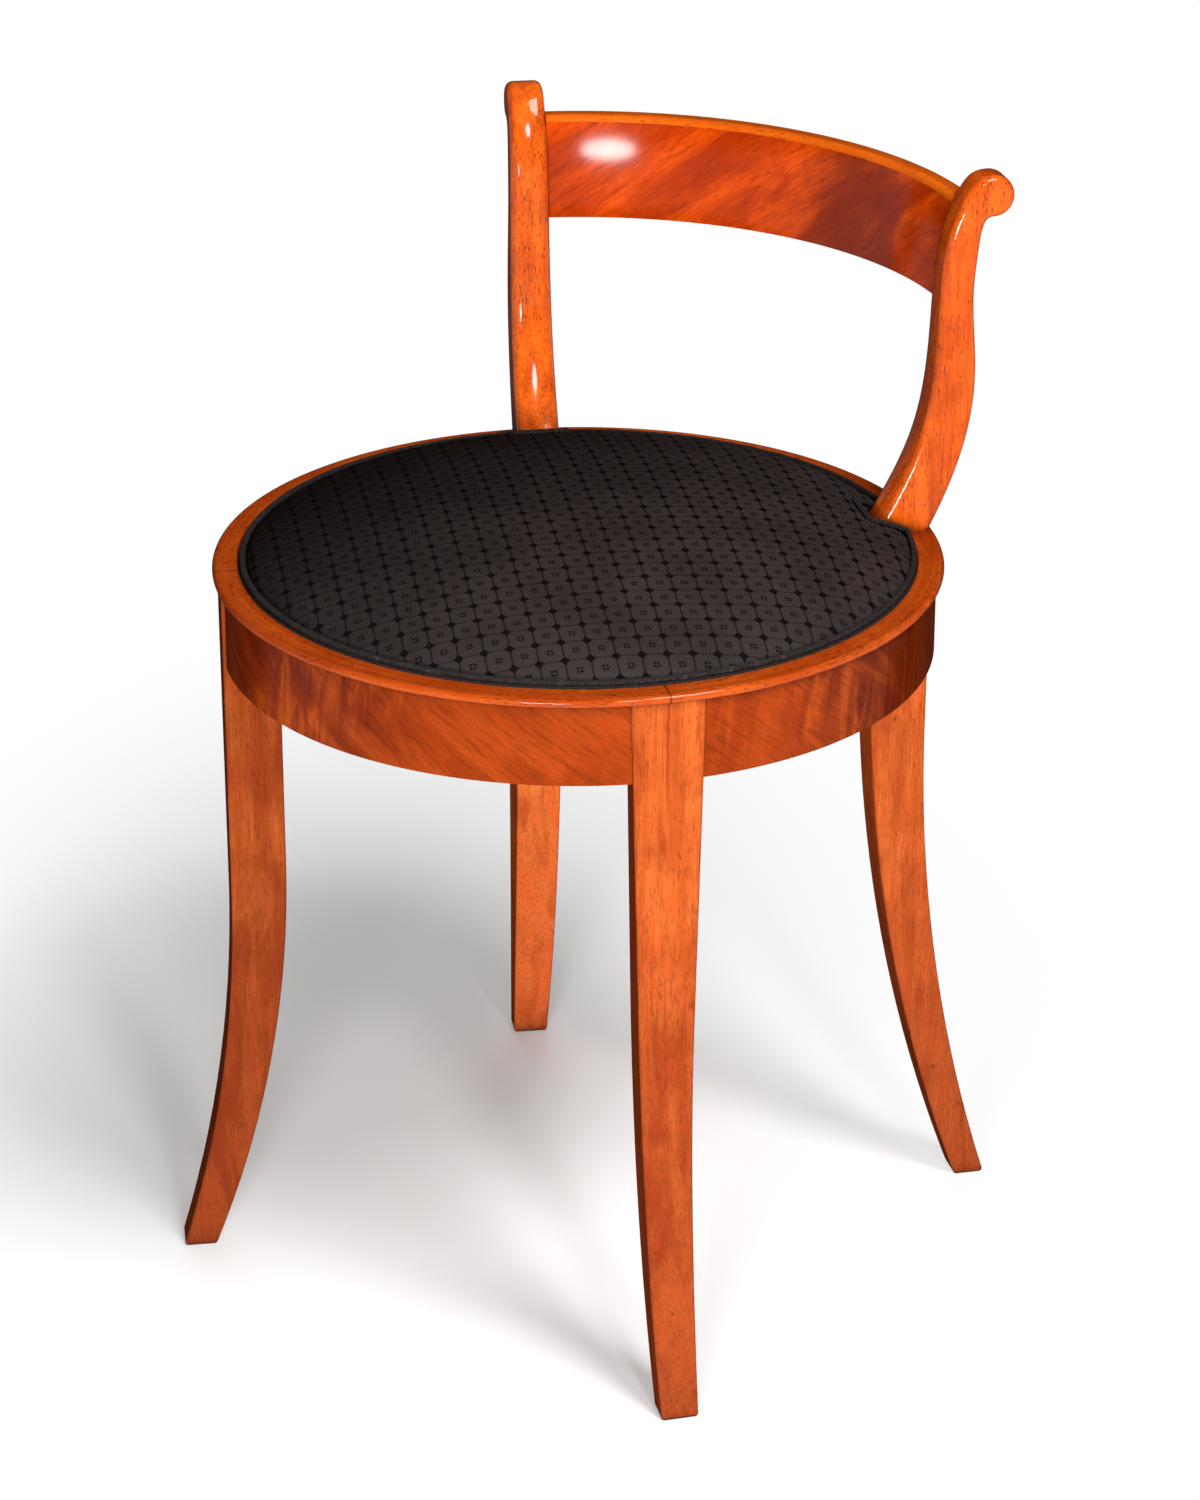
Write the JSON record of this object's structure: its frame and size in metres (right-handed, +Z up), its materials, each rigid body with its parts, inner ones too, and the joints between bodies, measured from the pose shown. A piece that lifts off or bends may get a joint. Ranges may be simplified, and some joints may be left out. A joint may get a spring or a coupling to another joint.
{
  "type": "vanity stool",
  "caption": "Round vanity stool with a low curved back between scrolled uprights, splayed legs and a padded drop-in seat.",
  "frame": {"origin": "on the floor, at the middle of the footprint of the outer box; the seat's axis is 13 mm in front of it", "axes": "+Z up, -Y towards the front, +X to the right as seen from the front"},
  "size_m": [0.43, 0.4562, 0.6604],
  "materials": {
    "mahogany": "polished to a high gloss",
    "flame_veneer": "figured veneer, polished to a high gloss",
    "secondary_wood": "plain sawn, unfinished",
    "horsehair": "black woven cloth with a small repeating figure",
    "edging": "rolled cloth edging",
    "webbing": "jute webbing",
    "hessian": "open plain weave",
    "stuffing": "curled fibre",
    "iron": "dull"
  },
  "bodies": {
    "frame": {"leg_front_right": "mahogany", "corner_block_front_right": "secondary_wood", "leg_back_right": "mahogany", "corner_block_back_right": "secondary_wood", "leg_back_left": "mahogany", "corner_block_back_left": "secondary_wood", "leg_front_left": "mahogany", "corner_block_front_left": "secondary_wood", "corner_block_screws": "iron", "apron_core_front": "secondary_wood", "apron_veneer_front": "flame_veneer", "seat_rim_front": "mahogany", "apron_core_right": "secondary_wood", "apron_veneer_right": "flame_veneer", "seat_rim_right": "mahogany", "apron_core_back": "secondary_wood", "apron_veneer_back": "flame_veneer", "seat_rim_back": "mahogany", "apron_core_left": "secondary_wood", "apron_veneer_left": "flame_veneer", "seat_rim_left": "mahogany", "upright_right": "mahogany", "upright_left": "mahogany", "crest_rail": "mahogany", "crest_veneer": "flame_veneer"},
    "seat": {"seat_frame_front_right": "secondary_wood", "seat_frame_back_right": "secondary_wood", "seat_frame_back_left": "secondary_wood", "seat_frame_front_left": "secondary_wood", "seat_frame_dowels": "secondary_wood", "webbing_lengthwise": "webbing", "webbing_crosswise": "webbing", "webbing_tacks": "iron", "seat_hessian": "hessian", "seat_stuffing": "stuffing", "seat_cover": "horsehair", "cover_tacks": "iron", "edge_piping": "edging"}
  },
  "joints": [
    {"name": "seat_lift", "type": "slide", "parent": "frame", "child": "seat", "axis": [0, 0, 1], "range_m": [0, 0.26]}
  ]
}
